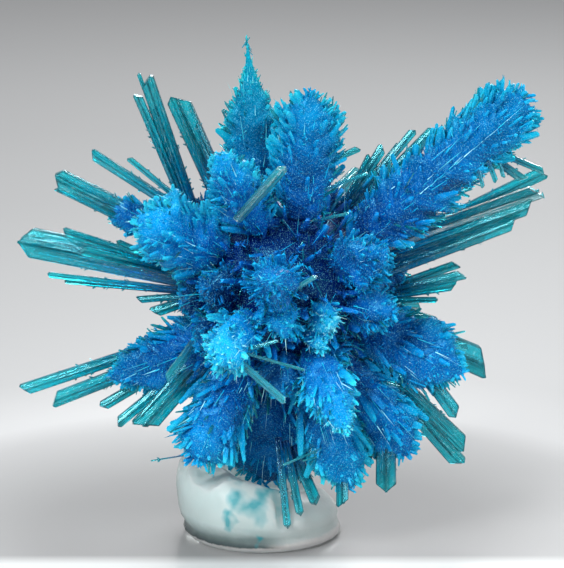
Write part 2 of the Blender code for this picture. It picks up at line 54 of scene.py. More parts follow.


# shape: half widths from root (0) to tip (1); spine: how far the barbs pass them; close: share of the length
# that rounds off the tip; tint and thin: how pale and how clear it is at root and tip, the darker root tint
# being painted shade; ribs: lines painted pale as highlights in front, from, to and place across; a feather
# without a root stands on the heart
featherPlans = {
    "top_spike": dict(
        root=(-0.3, 0.4, 18.7), tip=(-0.8, -0.2, 28.1), spine=0.8, tint=(0.4, 0.55), thin=(0.1, 1.0), seed=11,
        shape=((0.0, 0.5), (0.2, 0.95), (0.5, 1.0), (0.64, 0.55), (0.74, 0.28), (0.84, 0.1), (1.0, 0.03))),
    "top_feather": dict(
        root=(2.2, -2.0, 18.3), tip=(2.6, -3.0, 25.8), spine=0.85, tint=(0.35, 0.55), thin=(0.0, 0.45),
        seed=12, close=0.16, shape=((0.0, 0.5), (0.3, 1.1), (0.85, 1.25), (1.0, 0.5))),
    "upper_right_feather": dict(
        root=(5.0, -1.8, 16.8), tip=(14.4, -3.8, 25.7), spine=0.85, tint=(0.38, 0.54), thin=(0.0, 0.35),
        seed=13, close=0.08, ribs=[(0.4, 0.62, 0.05), (0.6, 0.99, 0.12)],
        shape=((0.0, 0.5), (0.2, 1.3), (0.42, 1.45), (0.6, 1.1), (0.88, 1.15), (1.0, 0.9))),
    "right_front_feather": dict(
        tip=(6.8, -6.4, 17.6), spine=0.75, tint=(0.35, 0.5), seed=14, shape=swell(0.6, 1.15, 0.5)),
    "right_front_tuft": dict(
        tip=(7.4, -5.1, 13.8), spine=0.7, tint=(0.32, 0.5), seed=15, shape=swell(0.6, 1.1, 0.5)),
    "lower_right_feather": dict(
        tip=(11.2, -3.0, 9.8), spine=0.7, tint=(0.38, 0.52), seed=16,
        shape=((0.0, 0.5), (0.3, 1.2), (0.75, 1.4), (1.0, 0.5))),
    "front_lower_feather": dict(
        tip=(4.6, -8.2, 7.9), spine=0.7, tint=(0.5, 0.9), seed=17, shape=swell(0.6, 1.15, 0.4)),
    "lower_right_skirt": dict(
        root=(2.6, -1.7, 10.0), tip=(5.0, -3.6, 3.3), spine=0.75, tint=(0.4, 0.6), thin=(0.0, 0.4), seed=18,
        shape=((0.0, 0.5), (0.35, 1.1), (0.8, 1.2), (1.0, 0.6))),
    "bottom_feather": dict(
        root=(0.7, 0.3, 9.6), tip=(0.4, 0.3, 2.2), spine=0.75, tint=(0.36, 0.5), seed=19, close=0.16,
        shape=((0.0, 0.8), (0.3, 1.8), (0.75, 2.0), (1.0, 1.1))),
    "lower_left_feather": dict(
        tip=(-3.9, -3.6, 4.6), spine=0.75, tint=(0.42, 0.62), seed=20, close=0.14,
        shape=((0.0, 0.5), (0.35, 1.1), (0.85, 1.3), (1.0, 0.8))),
    "left_front_tuft": dict(
        tip=(-2.6, -8.4, 11.8), spine=0.75, tint=(0.66, 0.92), seed=21, shape=swell(0.6, 1.1, 0.7)),
    "centre_feather": dict(
        tip=(0.5, -9.6, 16.7), spine=0.8, tint=(0.42, 0.54), seed=22, shape=swell(0.6, 1.15, 0.5)),
    "left_feather": dict(
        tip=(-6.8, -5.0, 19.3), spine=0.8, tint=(0.52, 0.74), seed=23, ribs=[(0.3, 0.8, 0.1)],
        shape=((0.0, 0.6), (0.3, 1.25), (0.8, 1.35), (1.0, 0.7))),
    "upper_left_feather": dict(
        tip=(-2.3, -6.2, 23.0), spine=0.8, tint=(0.48, 0.72), seed=24, shape=swell(0.5, 1.1, 0.5)),
    "back_top_feather": dict(tip=(-1.2, 7.6, 22.6), spine=0.8, seed=25, shape=swell(0.6, 1.2, 0.4)),
    "back_left_feather": dict(tip=(-6.2, 7.8, 16.8), spine=0.8, seed=26, shape=swell(0.6, 1.25, 0.4)),
    "back_right_feather": dict(tip=(9.6, 7.4, 18.3), spine=0.8, seed=27, shape=swell(0.6, 1.25, 0.4)),
    "back_centre_feather": dict(tip=(1.6, 11.2, 14.6), spine=0.8, seed=28, shape=swell(0.6, 1.3, 0.4)),
    "back_lower_feather": dict(tip=(3.6, 8.0, 6.0), spine=0.8, seed=29, shape=swell(0.6, 1.3, 0.5)),
    "back_lower_left_feather": dict(tip=(-5.2, 6.8, 8.6), spine=0.8, seed=30, shape=swell(0.6, 1.2, 0.5)),
}

# feathers that have grown on another arm, keyed by the arm's node
grownPlans = {
    "lower_right_skirt": dict(
        tip=(8.2, -3.0, 5.0), spine=0.75, seed=33,
        shape=((0.0, 0.5), (0.35, 1.1), (0.85, 1.25), (1.0, 0.5))),
    "left_upper_blade": dict(
        root=(-4.9, 0.3, 16.9), tip=(-9.0, 0.4, 18.9), spine=0.45, seed=31,
        shape=((0.0, 0.5), (0.3, 0.65), (0.7, 0.6), (1.0, 0.2))),
    "lower_left_fan": dict(
        root=(-2.2, -0.9, 11.2), tip=(-8.7, -1.6, 9.2), spine=0.6, tint=(0.36, 0.5), seed=32,
        shape=((0.0, 0.8), (0.4, 1.45), (0.75, 0.95), (1.0, 0.3))),
}

# root, tip, half width, half thickness, where the point stands across the end (-1 to 1), and for some the
# strength of a painted highlight on its rims
lathPlans = {
    "upper_left_long_blade": [
        ((-3.2, 1.5, 16.0), (-6.3, 0.5, 25.7), 0.50, 0.32, 0.6),
        ((-3.3, 1.4, 15.9), (-6.8, 0.3, 24.8), 0.30, 0.24, -0.6),
        ((-3.3, 1.5, 16.0), (-6.7, 0.4, 25.9), 0.14, 0.12, 0.0)],
    "upper_left_short_blade": [
        ((-1.7, 2.4, 17.3), (-4.8, 4.5, 23.9), 0.78, 0.45, -0.4)],
    "upper_left_laths": [
        ((-2.4, -0.9, 17.2), (-9.3, -1.0, 21.8), 0.36, 0.24, 0.5),
        ((-2.3, -0.8, 17.3), (-7.3, 0.0, 21.3), 0.20, 0.16, -0.3)],
    "left_upper_blade": [
        ((-3.1, 0.3, 16.0), (-11.4, 0.5, 20.1), 0.75, 0.42, 0.3)],
    "left_blade": [
        ((-3.4, 1.7, 14.2), (-13.6, 4.5, 15.6), 1.05, 0.50, 0.0),
        ((-3.7, 1.5, 14.4), (-10.9, -0.5, 17.3), 0.32, 0.22, 0.4),
        ((-3.7, 1.5, 14.2), (-9.9, -0.8, 16.3), 0.32, 0.22, -0.4),
        ((-3.7, 1.5, 14.3), (-7.9, -1.1, 16.8), 0.26, 0.20, 0.2)],
    "left_needles": [
        ((-3.5, -0.5, 13.9), (-11.7, -1.5, 15.1), 0.20, 0.16, 0.2),
        ((-3.5, -0.4, 13.8), (-10.8, -1.0, 14.6), 0.16, 0.14, 0.0),
        ((-3.4, -0.4, 13.7), (-6.9, 0.0, 13.3), 0.24, 0.20, 0.8),
        ((-3.4, -0.4, 13.6), (-6.1, -0.2, 12.6), 0.38, 0.30, 0.8)],
    "lower_left_fan": [
        ((-2.6, -0.4, 11.9), (-13.3, -1.0, 8.4), 0.42, 0.28, 0.7),
        ((-2.4, -0.6, 11.4), (-11.6, -1.8, 8.0), 0.50, 0.30, -0.6),
        ((-2.4, -0.6, 11.3), (-8.9, -1.2, 7.5), 0.36, 0.28, 0.4),
        ((-2.4, -0.8, 11.2), (-8.0, -2.2, 6.8), 0.36, 0.28, -0.4),
        ((-2.4, -0.9, 11.2), (-6.7, -3.0, 6.7), 0.80, 0.38, 0.7),
        ((-3.6, -1.8, 11.5), (-5.2, -3.4, 9.6), 0.34, 0.16, -0.5, 0.8)],
    "right_blade": [
        ((5.7, -0.4, 16.1), (15.2, -1.0, 19.7), 0.52, 0.34, 0.7),
        ((5.7, -0.4, 15.3), (14.8, -1.0, 18.9), 0.52, 0.38, -0.7),
        ((5.7, -0.4, 14.6), (13.9, -1.0, 18.0), 0.50, 0.34, -0.5),
        ((5.8, -0.2, 15.7), (15.6, 1.5, 20.2), 0.46, 0.26, 0.6)],
    "right_lath_bundle": [
        ((6.0, 0.9, 13.4), (10.9, 1.1, 15.1), 0.30, 0.22, 0.8),
        ((6.0, 0.8, 13.3), (11.2, 0.3, 14.7), 0.34, 0.22, 0.8),
        ((6.0, 0.9, 13.2), (10.8, 1.0, 13.9), 0.34, 0.22, -0.8),
        ((6.0, 0.8, 13.1), (9.7, 0.4, 13.2), 0.20, 0.18, 0.0),
        ((6.0, 0.7, 13.1), (9.8, -0.4, 12.1), 0.30, 0.24, 0.6)],
    "right_lower_blade": [
        ((5.3, 1.7, 12.3), (12.9, 4.5, 8.3), 1.0, 0.45, 0.8)],
    "lower_right_blade": [
        ((4.9, 0.7, 11.1), (11.4, 0.2, 4.75), 0.55, 0.32, 0.5),
        ((4.8, 0.7, 11.0), (11.1, 0.2, 3.75), 0.55, 0.30, -0.5)],
    "upper_right_laths": [
        ((4.2, 1.0, 17.7), (6.0, 2.0, 21.0), 0.30, 0.22, -0.6),
        ((4.2, 1.0, 17.7), (6.7, 2.2, 21.5), 0.34, 0.24, -0.5),
        ((4.3, 1.0, 17.7), (7.6, 2.4, 21.5), 0.28, 0.22, -0.8),
        ((4.3, 1.0, 17.6), (8.4, 2.3, 22.4), 0.28, 0.22, 0.2),
        ((4.4, 1.0, 17.5), (9.5, 2.6, 22.4), 0.34, 0.26, 0.0)],
    "back_upper_blades": [
        ((2.4, 3.4, 17.2), (3.2, 9.0, 20.6), 0.60, 0.35, 0.5),
        ((2.5, 3.4, 17.0), (5.4, 8.8, 18.6), 0.45, 0.30, -0.5)],
    "back_left_blades": [
        ((-1.5, 3.6, 13.2), (-4.4, 9.8, 12.8), 0.60, 0.35, 0.4),
        ((-1.5, 3.6, 13.0), (-3.2, 9.2, 10.6), 0.50, 0.32, -0.5)],
    "back_right_blades": [
        ((4.2, 3.2, 12.2), (9.0, 9.2, 10.6), 0.60, 0.35, 0.5),
        ((4.3, 3.1, 12.0), (9.2, 8.0, 8.2), 0.45, 0.30, -0.5)],
}

# clear laths that stand out of a feather, keyed by its node
grownLathPlans = {
    "top_feather": [
        ((2.7, -2.5, 21.2), (5.3, -2.2, 22.3), 0.22, 0.18, 0.4),
        ((3.2, -2.5, 20.0), (5.7, -3.0, 21.1), 0.10, 0.08, 0.2, 1.0)],
    "upper_right_feather": [
        ((11.5, -3.4, 21.9), (11.9, -3.6, 20.4), 0.14, 0.1, 0.4),
        ((12.0, -3.4, 22.2), (12.6, -3.6, 20.7), 0.18, 0.12, 0.4),
        ((12.5, -3.2, 22.6), (13.0, -3.4, 20.9), 0.14, 0.1, -0.4),
        ((12.4, -2.8, 22.3), (15.3, -2.8, 21.1), 0.22, 0.12, 0.9),
        ((12.2, -2.6, 22.0), (14.2, -2.8, 20.6), 0.3, 0.12, -0.9)],
    "upper_left_feather": [((-1.3, -4.6, 18.9), (1.2, -7.2, 22.3), 0.32, 0.22, 0.2, 1.8)],
    "centre_feather": [((1.2, -7.3, 15.4), (2.9, -8.3, 16.7), 0.16, 0.12, 0.3, 2.0)],
    "left_front_tuft": [
        ((-1.7, -6.8, 12.1), (1.3, -7.6, 9.6), 0.24, 0.14, 0.2, 1.8),
        ((-1.6, -6.8, 12.3), (2.3, -6.6, 11.1), 0.1, 0.08, 0.0, 1.8),
        ((-1.8, -6.5, 11.9), (0.9, -6.8, 12.8), 0.12, 0.1, 0.4, 1.8)],
    "lower_left_feather": [
        ((-4.3, -2.8, 5.2), (-6.1, -2.8, 4.9), 0.05, 0.04, 0.0)],
    "lower_right_feather": [((8.0, -2.3, 11.1), (10.7, -2.6, 7.4), 0.50, 0.34, 0.2)],
    "lower_right_skirt": [
        ((6.8, -2.6, 6.8), (6.8, -3.4, 3.3), 0.70, 0.42, 0.0),
        ((4.4, -3.1, 5.2), (4.4, -4.0, 2.6), 0.42, 0.30, 0.6),
        ((3.9, -3.2, 6.0), (1.15, -4.3, 5.1), 0.08, 0.06, 0.0, 1.0),
        ((4.2, -3.2, 5.6), (2.2, -4.0, 5.25), 0.06, 0.05, 0.0)],
    "bottom_feather": [
        ((0.9, -1.4, 5.8), (1.4, -4.5, 1.6), 0.26, 0.20, 0.0),
        ((1.3, -1.4, 5.6), (2.1, -4.4, 2.3), 0.28, 0.20, 0.0),
        ((1.7, -1.2, 5.2), (3.0, -3.9, 2.8), 0.40, 0.24, 0.3)],
    "right_front_feather": [((2.8, -2.8, 18.4), (4.7, -3.5, 19.0), 0.1, 0.08, 0.2, 1.0)],
}

# small feathers on the heart, part of its piece: five in front, and others wherever no arm grows
heartPlumes = [
    dict(tip=(3.8, -6.3, 13.5), spine=0.5, tint=(0.5, 0.95), seed=41, shape=swell(0.4, 0.7, 0.5)),
    dict(tip=(3.4, -6.3, 12.1), spine=0.5, tint=(0.5, 0.9), seed=42, shape=swell(0.4, 0.6, 0.4)),
    dict(tip=(1.1, -7.4, 13.6), spine=0.5, tint=(0.45, 0.7), seed=43, shape=swell(0.5, 0.9, 0.6)),
    dict(tip=(1.2, -5.6, 9.0), spine=0.5, tint=(0.4, 0.5), seed=44, shape=swell(0.6, 1.1, 0.7)),
    dict(tip=(4.3, -5.3, 10.2), spine=0.5, tint=(0.4, 0.5), seed=45, shape=swell(0.6, 1.0, 0.5)),
]
# the plumes that fill the gaps get a dark tint, painted shade between the arms
fillPlumes = dict(tries=48, apart=21, lowest=-0.72, reach=(6.3, 7.3), tint=(0.12, 0.32), seed=60)

# a feather's body, painted dark as shade between its barbs, its flat barbs, the needles and blades on both,
# clear spikes, and thin lines painted pale as highlights
coat = dict(
    wide=1.14, deep=0.6, reach=0.35, tipRound=0.3, coreShare=0.86, paintedCoreShade=-2.4, lumps=0.25, serration=0.42,
    lobes=0.45, ridges=0.1, rays=0.3, barbLean=(50, 28), barbTone=(-1.5, 0.6), rimShare=0.55, barbKinds=(
        dict(perMm=6.0, lengths=(1.3, 2.4), widths=(0.11, 0.27), reach=(0.88, 1.42), jitter=10),
        dict(perMm=20.0, lengths=(0.6, 1.2), widths=(0.06, 0.14), reach=(0.85, 1.2), jitter=14)),
    needlesPerMm2=70, lengths=(0.07, 0.17), slim=(0.018, 0.03), lift=0.8, flow=0.5, scatter=0.34, sink=0.03,
    bladesPerMm2=6, bladeLengths=(0.16, 0.38), bladeSlim=(0.028, 0.05), barbCoat=0.6, rimThin=0.35, crown=0.8,
    spikesPerMm=6.5, spikeLean=(60, 22), spikeLengths=(0.35, 0.95), spikeSlim=(0.05, 0.11),
    linesPerMm=6.0, lineLengths=(0.3, 1.8), lineSlim=(0.014, 0.024), glintLineTone=(1.5, 6.5), ribLines=8,
    ribLength=0.17)


# placing helpers
def endsOf(plan):
    tip = Vector(plan["tip"])
    if "root" in plan:
        return Vector(plan["root"]), tip
    centre = Vector(heart["centre"])
    return centre + (tip - centre).normalized() * heart["radius"], tip


def turnTowards(root, tip):
    along = (tip - root).normalized()
    across = Vector((0.0, 1.0, 0.0)).cross(along)
    if across.length < 0.35:
        across = Vector((1.0, 0.0, 0.0))
    across = (across - across.dot(along) * along).normalized()
    return np.array(Matrix((across, along.cross(across), along)).transposed())


def widthAt(shape, place):
    return np.interp(place, [spot for spot, _ in shape], [width for _, width in shape])


def ringSpots(rho, angles, along):
    return np.stack([rho * np.cos(angles), rho * np.sin(angles), along], axis=1)


# directions spread evenly over a ball
def ballWays(count):
    number = np.arange(count)
    height = 1 - 2 * (number + 0.5) / count
    return ringSpots(np.sqrt(1 - height ** 2), number * math.pi * (3 - math.sqrt(5)), height)


def pieceFrom(name, mesh, material, nodes):
    piece = bpy.data.objects.new(name, mesh)
    scene.collection.objects.link(piece)
    mesh.materials.append(material)
    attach(piece, "root")
    if nodes:
        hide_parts(*nodes)
    return piece


# the same shape with points, faces and first corners in a fixed order, as bmesh's own can change between runs
# and the random places on a body are picked by face
def inOrder(shape):
    spots = sorted(shape.verts, key=lambda vertex: vertex.co[:])
    rank = {vertex: number for number, vertex in enumerate(spots)}
    rings = []
    for face in shape.faces:
        ring = [rank[vertex] for vertex in face.verts]
        start = ring.index(min(ring))
        rings.append(ring[start:] + ring[:start])
    made = bmesh.new()
    verts = [made.verts.new(vertex.co) for vertex in spots]
    for ring in sorted(rings):
        made.faces.new([verts[number] for number in ring])
    made.normal_update()
    shape.free()
    return made


# a bmesh as numpy arrays of points and triangles
def arraysOf(shape):
    bmesh.ops.triangulate(shape, faces=shape.faces)
    shape.verts.index_update()
    points = np.array([vertex.co for vertex in shape.verts])
    corners = np.array([[vertex.index for vertex in face.verts] for face in shape.faces])
    shape.free()
    return points, corners


# one mesh from parts: co, corners, smooth, and every other entry becomes a point attribute
def meshFromParts(name, parts):
    starts = np.cumsum([0] + [len(part["co"]) for part in parts[:-1]])
    corners = np.concatenate([part["corners"] + start for part, start in zip(parts, starts)])
    points = np.concatenate([part["co"] for part in parts])
    mesh = bpy.data.meshes.new(name)
    mesh.vertices.add(len(points))
    mesh.vertices.foreach_set("co", (points * mm).astype(np.float32).ravel())
    mesh.loops.add(corners.size)
    mesh.loops.foreach_set("vertex_index", corners.astype(np.int32).ravel())
    mesh.polygons.add(len(corners))
    mesh.polygons.foreach_set("loop_start", np.arange(0, corners.size, 3, dtype=np.int32))
    rounded = [np.full(len(part["corners"]), part.get("smooth", False)) for part in parts]
    mesh.polygons.foreach_set("use_smooth", np.concatenate(rounded))
    mesh.update(calc_edges=True)
    for label in parts[0]:
        if label not in ("co", "corners", "smooth"):
            values = np.concatenate([part[label] for part in parts]).astype(np.float32)
            wide = values.ndim == 2
            layer = mesh.attributes.new(label, "FLOAT_VECTOR" if wide else "FLOAT", "POINT")
            layer.data.foreach_set("vector" if wide else "value", values.ravel())
    return mesh


# the small shapes that are repeated as arrays
def needleShape():
    shape = bmesh.new()
    bmesh.ops.create_cone(shape, cap_ends=True, segments=3, radius1=1.0, radius2=0.0, depth=1.0)
    bmesh.ops.translate(shape, verts=shape.verts, vec=(0.0, 0.0, 0.5))
    bmesh.ops.remove_doubles(shape, verts=shape.verts, dist=0.001)
    return arraysOf(shape)


# a flat pointed blade
def bladeShape():
    points, corners = needleShape()
    return points * (1.5, 0.55, 1.0), corners


def cutWedge(shape, across, long, slopeAngle):
    for side in (-1, 1):
        angle = math.radians(slopeAngle)
        slope = Vector((side * math.sin(angle), 0, math.cos(angle)))
        cut = bmesh.ops.bisect_plane(
            shape, geom=shape.verts[:] + shape.edges[:] + shape.faces[:],
            plane_co=(across, 0, long), plane_no=slope, clear_outer=True)["geom_cut"]
        bmesh.ops.edgeloop_fill(shape, edges=[part for part in cut if isinstance(part, bmesh.types.BMEdge)])


# a clear lath: its taper and wedge angle, bevel and inset as shares of its thickness, its ribs and its
# specks; the inset marks off the rims that are painted dark as shade or pale as highlights
lathForm = dict(
    rootWidth=0.86, endWidth=0.94, wedge=38, bevel=0.1, inset=0.17, rimHighlightInset=0.1, ribsPerMm=4,
    ribLengths=(0.6, 0.995), ribWidths=(0.12, 0.3), ribThicks=(0.5, 0.75), specksPerMm=1.3,
    speckLengths=(0.08, 0.22), speckSlims=(0.03, 0.06))


# a flat six-sided prism with a skew wedge for a point
def lathShape(long, wide, thick, peak):
    shape = bmesh.new()
    bmesh.ops.create_cone(shape, cap_ends=True, segments=6, radius1=lathForm["rootWidth"],
                          radius2=lathForm["endWidth"], depth=long)
    bmesh.ops.translate(shape, verts=shape.verts, vec=(0, 0, long / 2))
    bmesh.ops.scale(shape, verts=shape.verts, vec=(wide, thick, 1))
    cutWedge(shape, peak * wide * lathForm["rootWidth"], long, lathForm["wedge"])
    return shape


# a small flat spike, widest in the middle: 8 long and cut, then squeezed to a length of 1
def spikeShape():
    shape = bmesh.new()
    bmesh.ops.create_cone(shape, cap_ends=True, segments=4, radius1=0.75, radius2=1.0, depth=4.0)
    top = max(shape.faces, key=lambda face: face.calc_center_median().z)
    far = bmesh.ops.extrude_face_region(shape, geom=[top])["geom"]
    bmesh.ops.delete(shape, geom=[top], context="FACES_ONLY")
    moved = [part for part in far if isinstance(part, bmesh.types.BMVert)]
    bmesh.ops.translate(shape, verts=moved, vec=(0, 0, 4.0))
    bmesh.ops.scale(shape, verts=moved, vec=(0.6, 0.6, 1))
    bmesh.ops.translate(shape, verts=shape.verts, vec=(0, 0, 2.0))
    bmesh.ops.scale(shape, verts=shape.verts, vec=(1, 0.6, 1))
    cutWedge(shape, 0.12, 8.0, 30)
    bmesh.ops.scale(shape, verts=shape.verts, vec=(1, 1, 0.125))
    bmesh.ops.recalc_face_normals(shape, faces=shape.faces)
    return arraysOf(inOrder(shape))


needle, blade, spike = needleShape(), bladeShape(), spikeShape()


def repeatShape(template, places, ways, lengths, slims, spins):
    points, corners = template
    ways = ways / np.linalg.norm(ways, axis=1, keepdims=True)
    helper = np.where(np.abs(ways[:, 2:3]) < 0.8, [[0.0, 0.0, 1.0]], [[1.0, 0.0, 0.0]])
    side = np.cross(helper, ways)
    side /= np.linalg.norm(side, axis=1, keepdims=True)
    other = np.cross(ways, side)
    c, s = np.cos(spins)[:, None], np.sin(spins)[:, None]
    turns = np.stack([side * c + other * s, other * c - side * s, ways], axis=2)
    sized = points[None] * np.stack([slims, slims, lengths], axis=1)[:, None, :]
    moved = np.einsum("nij,npj->npi", turns, sized) + places[:, None, :]
    shifted = corners[None] + (np.arange(len(places)) * len(points))[:, None, None]
    return dict(co=moved.reshape(-1, 3), corners=shifted.reshape(-1, 3),
                reach=np.tile(points[:, 2], len(places)), sized=sized.reshape(-1, 3))


# repeated shapes of the coat, each with a tone of its own
def tonedShapes(template, places, ways, lengths, slims, spins, tones):
    made = repeatShape(template, places, ways, lengths, slims, spins)
    made["tone"] = np.repeat(tones, len(template[0]))
    made.pop("sized")
    return made


# random places on faces, and the directions in which needles leave them
def spreadOver(points, corners, flowAt, chance, perMm2):
    a, b, c = (points[corners[:, i]] for i in range(3))
    normals = np.cross(b - a, c - a)
    areas = np.linalg.norm(normals, axis=1) / 2
    normals = normals / np.maximum(np.linalg.norm(normals, axis=1, keepdims=True), 1e-12)
    count = int(areas.sum() * perMm2)
    faces = chance.choice(len(corners), count, p=areas / areas.sum())
    u, v = chance.uniform(0, 1, (2, count))
    fold = u + v > 1
    u, v = np.where(fold, 1 - u, u)[:, None], np.where(fold, 1 - v, v)[:, None]
    places = a[faces] + u * (b - a)[faces] + v * (c - a)[faces]
    ways = normals[faces] * coat["lift"] + flowAt(places) * coat["flow"]
    return places - normals[faces] * coat["sink"], ways + chance.normal(0, coat["scatter"], (count, 3))


# half width of a feather's body at a place from root (0) to tip (1), closing at the tip
def outlineAt(plan, place):
    closed = plan.get("close", coat["tipRound"])
    closing = np.clip((place - 1 + closed) / closed, 0, 1)
    width = widthAt(plan["shape"], place)
    return (width + coat["reach"] * plan["spine"] * np.minimum(width / 0.6, 1)) * (1 - closing ** 2) ** 0.6


# the body of a feather in its own frame: root at 0, +Z along it, X across the view, Y away from the viewer
def coreShape(plan, long):
    shape = bmesh.new()
    bmesh.ops.create_uvsphere(shape, u_segments=26, v_segments=18 + int(long * 6), radius=1.0)
    seed = plan["seed"] * 7.3
    for vertex in shape.verts:
        place = math.acos(max(-1.0, min(1.0, -vertex.co.z))) / math.pi
        flat = Vector((vertex.co.x, vertex.co.y))
        width = float(outlineAt(plan, place)) * coat["coreShare"]
        if flat.length < 0.001 or width < 0.001:
            vertex.co = (0.0, 0.0, place * long)
            continue
        flat.normalize()
        barb = place * long - abs(flat.x) * width * 0.8
        spot = Vector((flat.x * width, flat.y * width, place * long * 0.9))
        lump = noise.noise(spot + Vector((seed, 0, 0)))
        notch = noise.noise(Vector((barb * 1.25, math.copysign(4.0, flat.x), seed)))
        ridge = noise.noise(Vector((barb * 3.2, flat.x * 1.5, flat.y * 1.5 + seed)))
        lobe = noise.noise(Vector((flat.x * 1.4 + seed, flat.y * 1.4, place * long * 0.25)))
        width *= (1 + coat["lumps"] * lump + coat["serration"] * notch * abs(flat.x) + coat["ridges"] * ridge
                  + coat["lobes"] * lobe)
        vertex.co = (flat.x * width, flat.y * width, place * long)
    return arraysOf(inOrder(shape))


# angles around a feather: a share of them near its two rims
def anglesAround(count, rimShare, spread, chance):
    rims = chance.choice((0.0, math.pi), count) + chance.normal(0, spread, count)
    return np.where(chance.uniform(0, 1, count) < rimShare, rims, chance.uniform(0, 2 * math.pi, count))


def leaningWays(lean, angles, chance, jitter):
    lean = np.radians(lean + chance.normal(0, jitter, len(angles)))
    return ringSpots(np.sin(lean), angles, np.cos(lean))


# barbs: flat blades that leave the middle line and end near the outline
def barbsOf(plan, long, facing, kind, chance):
    count = 1 + int(long * kind["perMm"])
    place = np.sqrt(chance.uniform(0.01, 1.0, count))
    angles = anglesAround(count, coat["rimShare"] * (1 - facing), 0.4, chance)
    ways = leaningWays(np.interp(place, (0, 1), coat["barbLean"]), angles, chance, kind["jitter"])
    width = widthAt(plan["shape"], place)
    share = (0.35 + 0.65 * np.minimum(width / 1.1, 1)) * np.minimum(width / 0.25 + 0.2, 1)
    near, far = kind["reach"]
    rho = outlineAt(plan, place) * chance.uniform(near, far + coat["rays"] * facing, count)
    crown = np.clip((place - 0.7) / 0.3, 0, 1) * chance.uniform(0, coat["crown"], count) * share
    lengths = chance.uniform(*kind["lengths"], count) * share
    places = ringSpots(rho, angles, place * long + crown) - ways * lengths[:, None]
    return tonedShapes(spike, places, ways, lengths, chance.uniform(*kind["widths"], count) * share,
                       math.pi / 2 + chance.normal(0, 0.35, count), chance.normal(*coat["barbTone"], count))


# needles and small blades over a body's faces; keepAt tells which places are not buried
def coatOver(body, flowAt, chance, keepAt, share):
    parts = []
    for template, perMm2, lengths, slims, toneSpread in (
            (needle, coat["needlesPerMm2"], coat["lengths"], coat["slim"], 1.1),
            (blade, coat["bladesPerMm2"], coat["bladeLengths"], coat["bladeSlim"], 1.5)):
        places, ways = spreadOver(body["co"], body["corners"], flowAt, chance, perMm2 * share)
        kept = keepAt(places)
        places, ways = places[kept], ways[kept]
        many = len(places)
        parts.append(tonedShapes(template, places, ways, chance.uniform(*lengths, many),
                                 chance.uniform(*slims, many), chance.uniform(0, 6, many),
                                 chance.normal(0, toneSpread, many)))
    return parts


# thin lines painted pale as highlights: single long needles given a high tone
def paintedGlintLines(places, ways, chance, lengths):
    count = len(places)
    return tonedShapes(blade, places, ways, lengths, chance.uniform(*coat["lineSlim"], count),
                       chance.uniform(0, 6, count), chance.uniform(*coat["glintLineTone"], count))


def bodyFrom(points, corners, tone):
    return dict(co=points, corners=corners, reach=np.zeros(len(points)), tone=np.full(len(points), tone),
                smooth=True)


